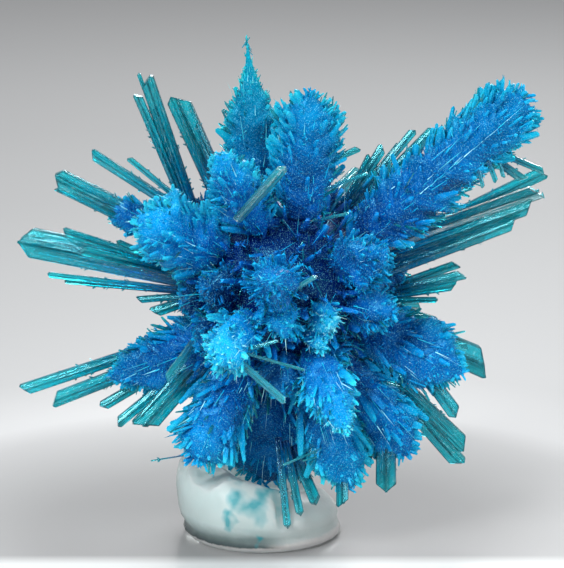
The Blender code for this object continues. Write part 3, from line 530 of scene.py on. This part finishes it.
def featherParts(plan, chance):
    root, tip = endsOf(plan)
    long = (tip - root).length
    turn, shift = turnTowards(root, tip), np.array(root)
    facing = float(turn[1, 2]) ** 2
    flatness = np.array([coat[side] + (1 - coat[side]) * facing for side in ("wide", "deep")] + [1.0])
    # the core's colour is painted dark, as shade under the barbs and needles
    core = bodyFrom(*coreShape(plan, long), coat["paintedCoreShade"])
    barbs = [barbsOf(plan, long, facing, kind, chance) for kind in coat["barbKinds"]]
    for part in [core] + barbs:
        part["co"] = part["co"] * flatness

    def flowAt(spots):
        lean = np.radians(np.interp(spots[:, 2] / long, (0, 1), coat["barbLean"]))[:, None]
        sides = spots[:, :2] / flatness[:2]
        sides = sides / np.maximum(np.linalg.norm(sides, axis=1, keepdims=True), 1e-6)
        return np.concatenate([sides * np.sin(lean), np.cos(lean)], axis=1)

    def standsFree(spots):
        rho = np.linalg.norm(spots[:, :2] / flatness[:2], axis=1)
        away = np.linalg.norm(spots @ turn.T + shift - heart["centre"], axis=1)
        return (rho > 0.72 * outlineAt(plan, spots[:, 2] / long)) & (away > heart["radius"] + 0.2)

    coated = [core] + barbs + coatOver(core, flowAt, chance, standsFree, 1.0)
    for part in barbs:
        coated += coatOver(part, flowAt, chance, standsFree, coat["barbCoat"])
    # thin lines near the outline, painted pale as highlights
    count = 1 + int(long * coat["linesPerMm"])
    place = chance.uniform(0.02, 0.8, count)
    angles = chance.choice((-0.5, 0.5), count) * math.pi + chance.normal(0, 0.6 + facing, count)
    rho = outlineAt(plan, place) * 0.92
    spots = ringSpots(rho, angles, place * long) * flatness
    ways = leaningWays(np.full(count, 10.0), angles, chance, 12)
    slender = np.minimum(widthAt(plan["shape"], place) / 0.9, 1)
    coated.append(paintedGlintLines(spots, ways, chance, chance.uniform(*coat["lineLengths"], count) * slender))
    # midrib lines painted pale as highlights
    for start, end, across in plan.get("ribs", []):
        many = coat["ribLines"]
        place = np.linspace(start, end, many + 1)[:-1]
        spots = np.stack([across + chance.normal(0, 0.02, many), -outlineAt(plan, place) * flatness[1] - 0.1,
                          place * long], axis=1)
        coated.append(paintedGlintLines(spots, np.tile((0.0, 0.05, 1.0), (many, 1)), chance,
                              np.full(many, (end - start) * long * coat["ribLength"])))
    for part in coated:
        spots = part["co"] / flatness
        place, across = spots[:, 2] / long, np.abs(spots[:, 0])
        rho = across * (1 - facing) + np.linalg.norm(spots[:, :2], axis=1) * facing
        rim = np.clip((across / np.maximum(outlineAt(plan, np.clip(place, 0, 0.97)), 0.2) - 0.6) / 0.5, 0, 1)
        # tint darker at the root than at the tip: painted shade where the arms crowd together at the heart
        part["tint"] = np.interp(place, (0, 1), plan.get("tint", (0.4, 0.55)))
        clearer = coat["rimThin"] * (1 - facing) * rim
        part["thin"] = np.interp(place, (0, 1), plan.get("thin", (0.0, 0.25))) + clearer
        part["grain"] = np.stack([spots[:, 2] - rho * 0.8, spots[:, 0], spots[:, 1]], axis=1) + plan["seed"]
    count = 1 + int(long * coat["spikesPerMm"])
    place = chance.uniform(0.05, 1.0, count)
    angles = anglesAround(count, 0.9 * (1 - facing), 0.3, chance)
    ways = leaningWays(np.interp(place, (0, 1), coat["spikeLean"]), angles, chance, 12)
    share = 0.45 + 0.55 * widthAt(plan["shape"], place) / 1.2
    rho = outlineAt(plan, place)
    spots = ringSpots(rho, angles, place * long) * flatness - ways * 0.5
    clear = [spikesAt(spots, ways, chance, 0.3 + chance.uniform(*coat["spikeLengths"], count) * share,
                      chance.uniform(*coat["spikeSlim"], count) * share)]
    fit = min(1.0, (long + 0.05) / max(part["co"][:, 2].max() for part in coated + clear))
    for part in coated + clear:
        part["co"][:, 2] *= fit
        part["co"] = part["co"] @ turn.T + shift
    return coated, clear


# small clear laths as arrays, with the attributes of the clear crystal; each gets a random share of painted
# shade, for the dark outline refraction gives
def spikesAt(places, ways, chance, lengths, slims):
    count = len(places)
    made = repeatShape(spike, places, ways + chance.normal(0, 0.08, (count, 3)), lengths, slims,
                       math.pi / 2 + chance.normal(0, 0.5, count))
    grain = made.pop("sized") + np.repeat(chance.uniform(0, 50, (count, 3)), len(spike[0]), axis=0)
    # a random share of painted shade for each spike
    dark = np.repeat(chance.uniform(0.0, 0.5, count), len(spike[0]))
    return dict(co=made["co"], corners=made["corners"], grain=grain, along=0.45 + 0.5 * made["reach"],
                dark=dark, bright=np.zeros(len(grain)))


# plans of the plumes that fill the gaps between the arms
def gapPlumes():
    chance = np.random.default_rng(fillPlumes["seed"])
    centre, plans = Vector(heart["centre"]), []
    taken = [(Vector(plan["tip"]) - centre).normalized() for plan in [*featherPlans.values(), *heartPlumes]]
    for number, way in enumerate(map(Vector, ballWays(fillPlumes["tries"]))):
        apart = min(math.degrees(way.angle(other)) for other in taken)
        if way.z < fillPlumes["lowest"] or apart < fillPlumes["apart"]:
            continue
        tip = centre + way * chance.uniform(*fillPlumes["reach"])
        plans.append(dict(tip=tuple(tip), spine=0.5, shape=swell(0.8, 1.1, 0.6), tint=fillPlumes["tint"],
                          seed=fillPlumes["seed"] + number))
    return plans


def heartParts(chance):
    centre = np.array(heart["centre"])
    shape = bmesh.new()
    bmesh.ops.create_icosphere(shape, subdivisions=4, radius=heart["radius"])
    core = bodyFrom(*arraysOf(inOrder(shape)), heart["paintedCoreShade"])
    count = heart["barbs"]
    outward = ballWays(count)
    ways = outward + chance.normal(0, heart["scatter"], (count, 3))
    ways = ways / np.linalg.norm(ways, axis=1, keepdims=True)
    places = outward * (heart["radius"] - 0.4)
    barbs = tonedShapes(spike, places, ways, chance.uniform(*heart["barbLength"], count),
                        chance.uniform(*heart["barbWidth"], count), chance.uniform(0, 6, count),
                        chance.normal(*heart["barbTone"], count))

    def flowAt(spots):
        return spots / np.linalg.norm(spots, axis=1, keepdims=True) * 0.4

    def standsFree(spots):
        return np.linalg.norm(spots, axis=1) > heart["radius"] - 0.1

    coated = [core, barbs]
    for body, share in zip((core, barbs), heart["coatShares"]):
        coated += coatOver(body, flowAt, chance, standsFree, share)
    clear = spikesAt(places + ways * 0.6, ways + chance.normal(0, 0.7, (count, 3)), chance,
                     chance.uniform(*heart["lathLengths"], count), chance.uniform(*heart["lathSlim"], count))
    # thin lines painted pale as highlights
    coated.append(paintedGlintLines(places + ways * 0.8, ways + chance.normal(0, 0.9, (count, 3)), chance,
                          chance.uniform(*heart["lathLengths"], count)))
    # the heart's clear spikes painted deeper blue, as the reflected blue cluster around them
    clear["along"] = clear["along"] * 0.7
    for part in coated:
        # tint deep navy at the heart's surface and paler further out: painted shade between the arms
        away = np.linalg.norm(part["co"], axis=1) - heart["radius"]
        part["tint"] = np.interp(away, (0.0, 1.6), heart["tint"])
        part["thin"] = np.zeros(len(part["co"]))
        part["grain"] = part["co"] * 0.6
    for part in coated + [clear]:
        part["co"] = part["co"] + centre
    return coated, [clear]


# one clear lath: the main prism, thinner ones grown along it, and specks on its edges
def lathParts(plan, chance):
    root, tip, wide, thick, peak = plan[:5]
    rimHighlight = plan[5] if len(plan) > 5 else 0.0
    root, tip = Vector(root), Vector(tip)
    long = (tip - root).length
    turn, shift = turnTowards(root, tip), np.array(root)
    runs = [(0.0, 0.0, 1.0, wide, thick, peak)]
    for number in range(1 + int(wide * lathForm["ribsPerMm"])):
        runs.append((chance.uniform(-0.7, 0.7) * wide, chance.choice((-1, 1)) * thick * 0.3,
                     chance.uniform(*lathForm["ribLengths"]), wide * chance.uniform(*lathForm["ribWidths"]),
                     thick * chance.uniform(*lathForm["ribThicks"]), chance.uniform(-0.8, 0.8)))
    parts = []
    for x, y, share, ribWide, ribThick, ribPeak in runs:
        shape = lathShape(long * share, ribWide, ribThick, ribPeak)
        slim = min(ribWide, ribThick)
        bmesh.ops.bevel(shape, geom=shape.edges[:], offset=slim * lathForm["bevel"], affect="EDGES",
                        segments=1, profile=0.5, material=-1)
        bmesh.ops.recalc_face_normals(shape, faces=shape.faces)
        broad = [face for face in shape.faces if face.calc_area() > slim * slim * 0.4]
        inset = slim * (lathForm["inset"] + lathForm["rimHighlightInset"] * rimHighlight)
        bmesh.ops.inset_individual(shape, faces=broad, thickness=inset, use_even_offset=True)
        inner = {vertex.co[:] for face in broad for vertex in face.verts}
        shape = inOrder(shape)
        rims = np.array([0.0 if vertex.co[:] in inner else 1.0 for vertex in shape.verts])
        bmesh.ops.translate(shape, verts=shape.verts, vec=(x, y, 0))
        points, corners = arraysOf(shape)
        # rims painted dark as the shade refraction shows at a crystal's edges; on highlighted laths they are
        # painted pale as highlights instead
        parts.append(dict(
            co=points @ turn.T + shift, corners=corners, grain=points + chance.uniform(0, 50, 3),
            along=points[:, 2] / long * (1 - rimHighlight * 0.25) + rimHighlight * 0.25,
            dark=rims * (rimHighlight == 0), bright=(0.1 + 0.9 * rims) * rimHighlight))
    count = int(long * lathForm["specksPerMm"])
    spots = np.stack([chance.choice((-1.0, 1.0), count) * wide * 0.78,
                      chance.uniform(-0.2, 0.2, count) * thick,
                      chance.uniform(0.3, 0.82, count) * (long - wide)], axis=1)
    ways = np.stack([np.sign(spots[:, 0]) * 0.8, chance.normal(0, 0.4, count), np.ones(count)], axis=1)
    specks = spikesAt(spots, ways, chance, chance.uniform(*lathForm["speckLengths"], count),
                      chance.uniform(*lathForm["speckSlims"], count))
    specks["co"] = specks["co"] @ turn.T + shift
    return parts + [specks]


# materials
def newMaterial(name):
    made = bpy.data.materials.new(name)
    made.use_nodes = True
    return made, made.node_tree, made.node_tree.nodes["Principled BSDF"]


# gives a node's sockets constants or the outputs of other nodes
def feed(net, node, inputs):
    for label, value in inputs.items():
        if isinstance(value, bpy.types.NodeSocket):
            net.links.new(value, node.inputs[label])
        else:
            node.inputs[label].default_value = value
    return node


def mathNode(net, operation, *values):
    made = net.nodes.new("ShaderNodeMath")
    made.operation = operation
    return feed(net, made, dict(enumerate(values))).outputs[0]


def vectorMath(net, operation, *values):
    made = net.nodes.new("ShaderNodeVectorMath")
    made.operation = operation
    return feed(net, made, dict(enumerate(values))).outputs


def colourRamp(net, factor, stops):
    ramp = feed(net, net.nodes.new("ShaderNodeValToRGB"), {"Fac": factor})
    while len(ramp.color_ramp.elements) < len(stops):
        ramp.color_ramp.elements.new(0.5)
    for element, (spot, colour) in zip(ramp.color_ramp.elements, stops):
        element.position = spot
        element.color = (*colour, 1.0)
    return ramp.outputs["Color"]


def mixColours(net, factor, first, second):
    made = net.nodes.new("ShaderNodeMix")
    made.data_type = "RGBA"
    return feed(net, made, {0: factor, 6: first, 7: second}).outputs[2]


def noiseOf(net, vector, scale, detail):
    made = net.nodes.new("ShaderNodeTexNoise")
    return feed(net, made, {"Scale": scale, "Detail": detail, "Vector": vector}).outputs["Fac"]


def clamped(net, value, most=1.0):
    return feed(net, net.nodes.new("ShaderNodeClamp"), {"Value": value, "Max": most}).outputs["Result"]


def splitAxes(net, vector):
    return feed(net, net.nodes.new("ShaderNodeSeparateXYZ"), {0: vector}).outputs


def objectPlaces(net):
    return net.nodes.new("ShaderNodeTexCoord").outputs["Object"]


def readAttribute(net, name, output="Fac"):
    made = net.nodes.new("ShaderNodeAttribute")
    made.attribute_name = name
    return made.outputs[output]


def stretched(net, vector, scale):
    return feed(net, net.nodes.new("ShaderNodeMapping"), {"Scale": scale, "Vector": vector}).outputs["Vector"]


def bumpOf(net, height, strength, distance):
    made = net.nodes.new("ShaderNodeBump")
    return feed(net, made, {"Strength": strength, "Distance": distance, "Height": height}).outputs["Normal"]


# fine streaks for bumps and sparse specks that paint glints, along a vector, for coat, crystal and putty
def streaksAndGlintsGroup():
    net = bpy.data.node_groups.new("streaksAndGlints", "ShaderNodeTree")
    net.interface.new_socket("Vector", in_out="INPUT", socket_type="NodeSocketVector")
    for label in ("Height", "PaintedGlint"):
        net.interface.new_socket(label, in_out="OUTPUT", socket_type="NodeSocketFloat")
    vector = net.nodes.new("NodeGroupInput").outputs["Vector"]
    paintedGlint = mathNode(net, "MULTIPLY_ADD", noiseOf(net, vector, 2.6, 1.0), 9.0, -5.6)
    streaks = noiseOf(net, vector, 1.0, 4.0)
    feed(net, net.nodes.new("NodeGroupOutput"), {"Height": streaks, "PaintedGlint": clamped(net, paintedGlint)})
    return net


streaksAndGlints = streaksAndGlintsGroup()


def streaksAndGlintsOn(net, vector, scale):
    made = net.nodes.new("ShaderNodeGroup")
    made.node_tree = streaksAndGlints
    feed(net, made, {"Vector": stretched(net, vector, scale)})
    return made.outputs["Height"], made.outputs["PaintedGlint"]


def needleMaterial():
    made, net, shader = newMaterial("needleCoat")
    reach, tone, tint, thin = (readAttribute(net, name) for name in ("reach", "tone", "tint", "thin"))
    coords = objectPlaces(net)
    height, paintedGlint = streaksAndGlintsOn(net, coords, (9000.0, 9000.0, 9000.0))
    cloud = mathNode(net, "MULTIPLY_ADD", noiseOf(net, coords, 500.0, 3.0), 0.56, -0.28)
    grain = readAttribute(net, "grain", "Vector")
    vanes = noiseOf(net, stretched(net, grain, (6.0, 1.2, 1.2)), 1.0, 3.0)
    # needle tips painted lighter and their roots darker, a painted highlight and painted shade; the palest
    # end of the ramp paints glints on bright tips
    lit = mathNode(net, "MULTIPLY_ADD", reach, 0.26, tint)
    lit = mathNode(net, "MULTIPLY_ADD", tone, 0.115, lit)
    lit = mathNode(net, "ADD", lit, cloud)
    lit = mathNode(net, "ADD", lit, mathNode(net, "MULTIPLY_ADD", vanes, 0.44, -0.2))
    lit = mathNode(net, "MULTIPLY", lit, 0.7)
    deep = colourRamp(net, lit, (
        (0.0, (0.0, 0.01, 0.10)), (0.21, (0.0, 0.07, 0.36)), (0.385, (0.0, 0.2, 0.6)),
        (0.56, (0.0, 0.37, 0.72)), (0.7, (0.01, 0.58, 0.82)), (1.0, (0.45, 0.88, 0.97))))
    pale = colourRamp(net, lit, (
        (0.0, (0.0, 0.06, 0.12)), (0.35, (0.0, 0.34, 0.42)), (0.7, (0.05, 0.62, 0.62)),
        (1.0, (0.5, 0.9, 0.88))))
    colour = mixColours(net, thin, deep, pale)
    # sparse specks painted pale cyan: painted glints
    colour = mixColours(net, mathNode(net, "MULTIPLY", paintedGlint, 0.7), colour, (0.22, 0.72, 0.86, 1.0))
    feed(net, shader, {
        "Base Color": colour, "Normal": bumpOf(net, height, 0.6, 0.00004), "Roughness": 0.2,
        "Specular IOR Level": 0.3, "Specular Tint": (0.1, 0.65, 1.0, 1.0)})
    return made


def crystalMaterial():
    made, net, shader = newMaterial("clearCrystal")
    along, dark, bright = (readAttribute(net, name) for name in ("along", "dark", "bright"))
    grain = readAttribute(net, "grain", "Vector")
    height, paintedGlint = streaksAndGlintsOn(net, grain, (8.0, 8.0, 0.5))
    cloud = mathNode(net, "MULTIPLY_ADD", noiseOf(net, grain, 1.3, 3.0), 0.6, -0.3)
    # darker blue towards the root: a painted reflection of the blue cluster, and painted darkening where
    # crystals overlap
    colour = colourRamp(net, mathNode(net, "ADD", along, cloud), (
        (0.0, (0.0, 0.08, 0.42)), (0.3, (0.0, 0.25, 0.58)), (0.6, (0.0, 0.46, 0.62)),
        (1.0, (0.02, 0.62, 0.69))))
    # sparse specks and dots painted near white: painted glints
    colour = mixColours(net, mathNode(net, "MULTIPLY", paintedGlint, 0.75), colour, (0.45, 0.92, 0.92, 1.0))
    unused, glintDots = streaksAndGlintsOn(net, grain, (5.0, 5.0, 2.5))
    colour = mixColours(net, mathNode(net, "MULTIPLY", glintDots, 0.8), colour, (0.6, 0.96, 0.94, 1.0))
    # rims painted dark as shade from refraction, broken up by noise
    brokenEdgeShade = mathNode(net, "MULTIPLY_ADD", noiseOf(net, grain, 3.0, 2.0), 2.4, -0.35)
    brokenEdgeShade = mathNode(net, "MINIMUM", mathNode(net, "MULTIPLY", dark, brokenEdgeShade), 0.92)
    colour = mixColours(net, brokenEdgeShade, colour, (0.0, 0.05, 0.08, 1.0))
    # rims of highlighted laths painted pale: painted highlights
    light = colourRamp(net, mathNode(net, "MULTIPLY", bright, 0.5), (
        (0.0, (0.05, 0.66, 0.88)), (0.5, (0.2, 0.84, 0.97)), (1.0, (0.7, 0.97, 1.0))))
    colour = mixColours(net, mathNode(net, "MINIMUM", bright, 0.92), colour, light)
    feed(net, shader, {
        "Base Color": colour, "Normal": bumpOf(net, height, 0.6, 0.00006), "Roughness": 0.04, "IOR": 1.56,
        "Specular Tint": (0.4, 0.9, 1.0, 1.0), "Specular IOR Level": 0.35, "Transmission Weight": 0.75})
    soak = net.nodes.new("ShaderNodeVolumeAbsorption")
    feed(net, soak, {"Color": (0.0, 0.74, 0.86, 1.0), "Density": 900.0})
    feed(net, net.nodes["Material Output"], {"Volume": soak.outputs["Volume"]})
    return made


# cream where it is pressed down, painted shade in a dark arc above that on the left where a shaded copy of
# the colours is used, and four glimpses of crystal inside
def puttyMaterial():
    made, net, shader = newMaterial("softPutty")
    coords = objectPlaces(net)
    height, unused = streaksAndGlintsOn(net, coords, (1400.0, 1400.0, 1400.0))
    axes = splitAxes(net, coords)
    level = mathNode(net, "MULTIPLY", mathNode(net, "MULTIPLY_ADD", height, 0.0003, axes["Z"]), 200.0)
    cream = (1.0, 0.97, 0.93)
    pale = colourRamp(net, level, (
        (0.0, cream), (0.11, cream), (0.15, (0.74, 0.84, 0.83)), (0.4, (0.8, 0.93, 0.92)),
        (1.0, (0.88, 0.92, 0.86))))
    shaded = colourRamp(net, level, (
        (0.0, cream), (0.085, cream), (0.105, (0.12, 0.17, 0.18)), (0.17, (0.3, 0.4, 0.4)),
        (0.34, (0.76, 0.92, 0.91))))
    # the left side takes the shaded copy: painted shade
    shadedLeftSide = clamped(net, mathNode(net, "MULTIPLY_ADD", axes["X"], -800.0, 1.1))
    colour = mixColours(net, shadedLeftSide, pale, shaded)
    drift = feed(net, net.nodes.new("ShaderNodeTexNoise"), {"Scale": 700.0, "Vector": coords})
    drifted = vectorMath(net, "MULTIPLY_ADD", drift.outputs["Color"], (0.004, 0.004, 0.004), coords)["Vector"]
    for spot, radius in (((0.4, -2.8, 3.6), 1.3), ((-0.65, -3.7, 2.9), 1.2), ((-1.86, -4.1, 1.93), 0.6),
                         ((0.17, -4.4, 1.08), 0.5)):
        middle = (Vector(spot) + Vector((2.0, 2.0, 2.0))) * mm
        away = vectorMath(net, "DISTANCE", drifted, middle)["Value"]
        near = mathNode(net, "MULTIPLY_ADD", away, -1.3 / (radius * mm), 1.5)
        near = mathNode(net, "MULTIPLY", near, mathNode(net, "ADD", height, 0.3))
        colour = mixColours(net, clamped(net, near, 0.85), colour, (0.03, 0.5, 0.58, 1.0))
    feed(net, shader, {
        "Base Color": colour, "Normal": bumpOf(net, height, 0.3, 0.0001), "Roughness": 0.22, "IOR": 1.4,
        "Transmission Weight": 0.6, "Subsurface Weight": 1.0, "Subsurface Radius": (1.0, 1.0, 1.0),
        "Subsurface Scale": 0.0012})
    return made


# the pieces, by the ending of their names: look, slot, and triangles so far
looks = dict(needles=needleMaterial(), laths=crystalMaterial())
totals = dict(needles=0, laths=0)


def addPiece(name, ending, nodes, parts):
    label = name + "_" + ending
    pieceFrom(label, meshFromParts(label, parts), looks[ending], nodes)
    totals[ending] += sum(len(part["corners"]) for part in parts)


for name, plan in featherPlans.items():
    chance = np.random.default_rng(plan["seed"])
    coatParts, clearParts = featherParts(plan, chance)
    if name in grownPlans:
        moreCoat, moreClear = featherParts(grownPlans[name], chance)
        coatParts, clearParts = coatParts + moreCoat, clearParts + moreClear
    for lath in grownLathPlans.get(name, []):
        clearParts += lathParts(lath, chance)
    addPiece(name, "needles", [name], coatParts)
    addPiece(name, "laths", [], clearParts)
print("feathers:", totals["needles"], "triangles of coat,", totals["laths"], "of clear crystal")

for number, (name, plans) in enumerate(lathPlans.items()):
    chance = np.random.default_rng(100 + number)
    clearParts = [part for plan in plans for part in lathParts(plan, chance)]
    if name in grownPlans:
        coatParts, moreClear = featherParts(grownPlans[name], chance)
        clearParts += moreClear
        addPiece(name, "needles", [], coatParts)
    addPiece(name, "laths", [name], clearParts)
print("laths done:", totals["laths"], "triangles of clear crystal")

coatParts, clearParts = heartParts(np.random.default_rng(heart["seed"]))
addPiece("heart", "needles", ["crystal_heart"], coatParts)
print("heart body done:", totals["needles"], "triangles of coat")
plumeParts = []
for plan in heartPlumes + gapPlumes():
    moreCoat, moreClear = featherParts(plan, np.random.default_rng(plan["seed"]))
    plumeParts, clearParts = plumeParts + moreCoat, clearParts + moreClear
addPiece("heart_plumes", "needles", [], plumeParts)
addPiece("heart", "laths", [], clearParts)
print("heart done:", totals["needles"], "triangles of coat in all")

# the putty: a flat lip below this height, and a shallow groove above it
putty = dict(cuts=2, smooth=6, grain=0.06, lumpsPerMm=0.8, lip=0.45, groove=0.75, grooveWide=0.3,
             grooveDepth=0.04)
shape = bmesh.new()
shape.from_mesh(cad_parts["mounting_putty"].data)
bmesh.ops.remove_doubles(shape, verts=shape.verts, dist=1e-6)
bmesh.ops.subdivide_edges(shape, edges=shape.edges[:], cuts=putty["cuts"], use_grid_fill=True)
free = [vertex for vertex in shape.verts if vertex.co.z > putty["lip"] * mm]
for step in range(putty["smooth"]):
    bmesh.ops.smooth_vert(shape, verts=free, factor=0.5, use_axis_x=True, use_axis_y=True, use_axis_z=True)
for vertex in free:
    vertex.co += vertex.normal * noise.noise(vertex.co / mm * putty["lumpsPerMm"]) * putty["grain"] * mm
    offset = (vertex.co.z / mm - putty["groove"]) / putty["grooveWide"]
    squeeze = 1 - putty["grooveDepth"] * math.exp(-offset ** 2)
    vertex.co.x, vertex.co.y = vertex.co.x * squeeze, vertex.co.y * squeeze
bmesh.ops.triangulate(shape, faces=shape.faces)
puttyMesh = bpy.data.meshes.new("putty")
shape.to_mesh(puttyMesh)
shape.free()
puttyMesh.polygons.foreach_set("use_smooth", [True] * len(puttyMesh.polygons))
pieceFrom("pressed_putty", puttyMesh, puttyMaterial(), ["mounting_putty"])
print("putty done")

# floor, lights, camera
room = dict(elevation=14, target=(1.1, 0.0, 14.2), distance=200, mmPerPixel=0.055, side=568, sensor=36.0)


# painted shadow under the putty, a ring of painted light around it, darker again further out, and a painted
# strip of light nearest the viewer
def floorMaterial():
    made, net, shader = newMaterial("floorLook")
    coords = objectPlaces(net)
    away = mathNode(net, "MULTIPLY", vectorMath(net, "LENGTH", coords)["Value"], 2.5)
    paintedLightGreys = ((0.0, 0.16), (0.03, 0.19), (0.055, 0.33), (0.063, 0.42), (0.085, 0.33), (0.12, 0.3),
             (0.21, 0.242), (0.28, 0.218), (0.38, 0.207), (1.0, 0.19))
    colour = colourRamp(net, away, [(spot, (grey, grey * 1.02, grey * 1.03)) for spot, grey in paintedLightGreys])
    # a painted strip of light nearest the viewer
    paintedNearStrip = clamped(net, mathNode(net, "MULTIPLY_ADD", splitAxes(net, coords)["Y"], -650.0, -2.9))
    colour = mixColours(net, paintedNearStrip, colour, (0.48, 0.5, 0.5, 1.0))
    feed(net, shader, {"Base Color": colour, "Roughness": 0.28, "Specular IOR Level": 0.35})
    return made


shape = bmesh.new()
bmesh.ops.create_circle(shape, cap_ends=True, segments=96, radius=0.6)
floorMesh = bpy.data.meshes.new("floor")
shape.to_mesh(floorMesh)
shape.free()
floor = bpy.data.objects.new("floor", floorMesh)
scene.collection.objects.link(floor)
floorMesh.materials.append(floorMaterial())

world = bpy.data.worlds.new("softRoom")
scene.world = world
world.use_nodes = True
sky = world.node_tree
upward = splitAxes(sky, sky.nodes.new("ShaderNodeTexCoord").outputs["Generated"])["Z"]
skyGreys = [(spot, (grey, grey, grey * 1.02)) for spot, grey in ((0.0, 0.3), (0.75, 0.85))]
feed(sky, sky.nodes["Background"], {"Color": colourRamp(sky, upward, skyGreys), "Strength": 0.9})


def softBox(name, place, size, power):
    light = bpy.data.lights.new(name, "AREA")
    light.shape = "RECTANGLE"
    light.size, light.size_y = size[0] * mm, size[1] * mm
    light.energy = power
    thing = bpy.data.objects.new(name, light)
    thing.location = Vector(place) * mm
    thing.rotation_euler = (Vector(room["target"]) - Vector(place)).to_track_quat("-Z", "Y").to_euler()
    thing.visible_camera = False
    scene.collection.objects.link(thing)


softBox("keyLight", (-90, -120, 150), (90, 90), 0.5)
softBox("fillLight", (140, -90, 80), (90, 120), 0.16)
softBox("frontLight", (10, -170, 25), (120, 60), 0.04)
softBox("rimLight", (40, 130, 110), (120, 60), 0.35)

cameraData = bpy.data.cameras.new("camera")
cameraData.sensor_width = room["sensor"]
cameraData.lens = room["distance"] / room["mmPerPixel"] * room["sensor"] / room["side"]
cameraData.clip_start, cameraData.clip_end = 0.01, 5.0
camera = bpy.data.objects.new("camera", cameraData)
tilt = math.radians(room["elevation"])
back = Vector((0.0, -math.cos(tilt), math.sin(tilt)))
camera.location = (Vector(room["target"]) + back * room["distance"]) * mm
camera.rotation_euler = (-back).to_track_quat("-Z", "Y").to_euler()
scene.collection.objects.link(camera)
scene.camera = camera
scene.view_settings.view_transform = "Standard"
